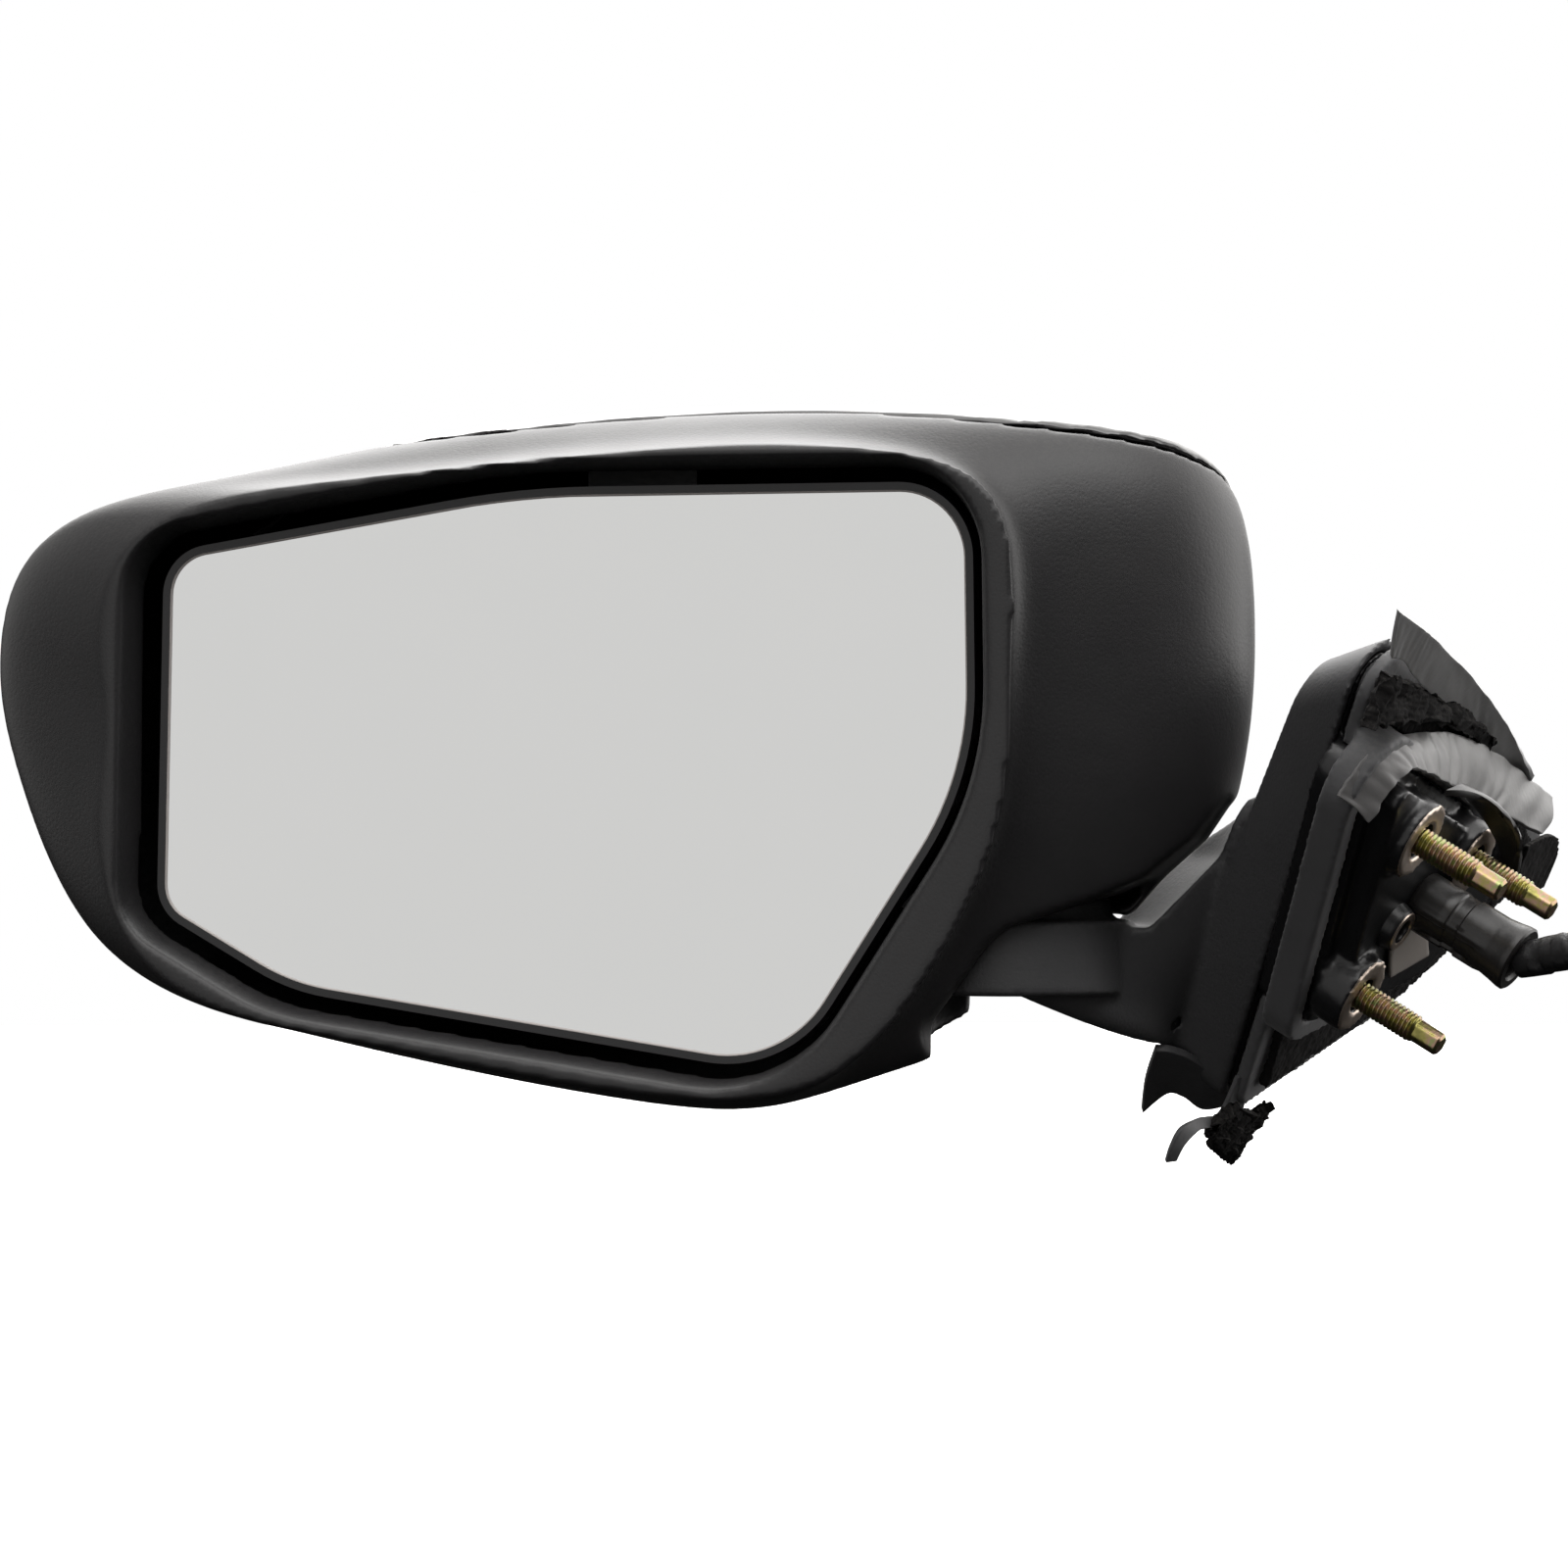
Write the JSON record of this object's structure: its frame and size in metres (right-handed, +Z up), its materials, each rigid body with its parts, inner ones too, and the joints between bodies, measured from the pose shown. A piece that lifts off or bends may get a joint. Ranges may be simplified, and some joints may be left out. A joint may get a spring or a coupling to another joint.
{
  "type": "car side mirror",
  "caption": "Left-hand door mirror: power-tilting glass in a pointed black head that folds on an arm, with a leaf-shaped sealed foot, mounting studs and a wiring pigtail.",
  "frame": {"origin": "centre of the mounting studs' circle, on the bosses' faces that meet the door", "axes": "+X inboard, +Y forward along the car, +Z up; the glass faces -Y"},
  "size_m": [0.3874, 0.1928, 0.3097],
  "materials": {
    "housing": "fine-textured black",
    "scalp": "gloss, ready for paint",
    "glass": "silvered glass",
    "pad": "adhesive heater foil",
    "holder": "smooth black",
    "acetal": "natural acetal",
    "nylon": "natural nylon",
    "steel": "plain steel",
    "motor": "plated steel can",
    "case": "black, glass filled",
    "screw": "plated steel",
    "casting": "die-cast aluminium, coated black",
    "spring": "spring steel",
    "arm": "satin dark grey",
    "zinc": "yellow-passivated zinc on steel",
    "gasket": "grey-black rubber",
    "foam": "black open-cell foam",
    "collar": "black",
    "tape": "black wound tape",
    "plug": "black",
    "strip": "grey film strip"
  },
  "bodies": {
    "base": {"fold_post": "steel", "detent_ring": "steel", "fold_spring": "spring", "spring_washer": "steel", "post_clip": "spring", "arm_cover": "arm", "base_casting": "casting", "mount_studs": "zinc", "gasket": "gasket", "foam_seal": "foam", "connector_collar": "collar", "harness": "tape", "harness_plug": "plug", "seal_skirt": "gasket", "seal_flap": "strip"},
    "head": {"head_housing": "housing", "scalp_cover": "scalp", "motor_side": "motor", "motor_low": "motor", "actuator_case": "case", "actuator_cover": "case", "case_screws": "screw", "head_frame": "casting", "frame_screws": "screw"},
    "tilt_ring": {"tilt_ring": "acetal"},
    "glass": {"mirror_glass": "glass", "heater_pad": "pad", "glass_holder": "holder"},
    "jackscrew_side": {"jackscrew_side": "acetal"},
    "jackscrew_low": {"jackscrew_low": "acetal"},
    "nut_gear_side": {"nut_gear_side": "nylon"},
    "nut_gear_low": {"nut_gear_low": "nylon"},
    "worm_side": {"worm_side": "steel"},
    "worm_low": {"worm_low": "steel"}
  },
  "joints": [
    {"name": "head_fold", "type": "hinge", "parent": "base", "child": "head", "pos_m": [-0.084, -0.006, -0.004], "axis": [0, 0, 1], "range_deg": [-60, 60]},
    {"name": "tilt_up_down", "type": "hinge", "parent": "head", "child": "tilt_ring", "pos_m": [-0.168, -0.026, 0.026], "axis": [1, 0, 0], "range_deg": [-6.5, 6.5]},
    {"name": "tilt_side", "type": "hinge", "parent": "tilt_ring", "child": "glass", "pos_m": [-0.168, -0.026, 0.026], "axis": [0, 0, 1], "range_deg": [-6.5, 6.5]},
    {"name": "screw_low_slide", "type": "slide", "parent": "head", "child": "jackscrew_low", "axis": [0, 1, 0], "range_m": [-0.00328, 0.00328]},
    {"name": "screw_side_slide", "type": "slide", "parent": "head", "child": "jackscrew_side", "axis": [0, 1, 0], "range_m": [-0.00328, 0.00328]},
    {"name": "gear_low_turn", "type": "hinge", "parent": "head", "child": "nut_gear_low", "pos_m": [-0.168, -0.008, -0.002], "axis": [0, 1, 0], "range_deg": [-191.6, 191.6]},
    {"name": "gear_side_turn", "type": "hinge", "parent": "head", "child": "nut_gear_side", "pos_m": [-0.14, -0.008, 0.026], "axis": [0, 1, 0], "range_deg": [-191.6, 191.6]},
    {"name": "worm_low_turn", "type": "hinge", "parent": "head", "child": "worm_low", "pos_m": [-0.168, -0.008, 0.00995], "axis": [1, 0, 0], "range_deg": [-1716.3, 1716.3]},
    {"name": "worm_side_turn", "type": "hinge", "parent": "head", "child": "worm_side", "pos_m": [-0.14, -0.008, 0.03795], "axis": [1, 0, 0], "range_deg": [-1716.3, 1716.3]}
  ],
  "couplings": [
    {"joint": "screw_low_slide", "follows": "tilt_up_down", "m_per_rad": 0.028},
    {"joint": "screw_side_slide", "follows": "tilt_side", "m_per_rad": 0.028},
    {"joint": "gear_low_turn", "follows": "tilt_up_down", "ratio": 29.322},
    {"joint": "gear_side_turn", "follows": "tilt_side", "ratio": 29.322},
    {"joint": "worm_low_turn", "follows": "tilt_up_down", "ratio": 263.89},
    {"joint": "worm_side_turn", "follows": "tilt_side", "ratio": 263.89}
  ]
}
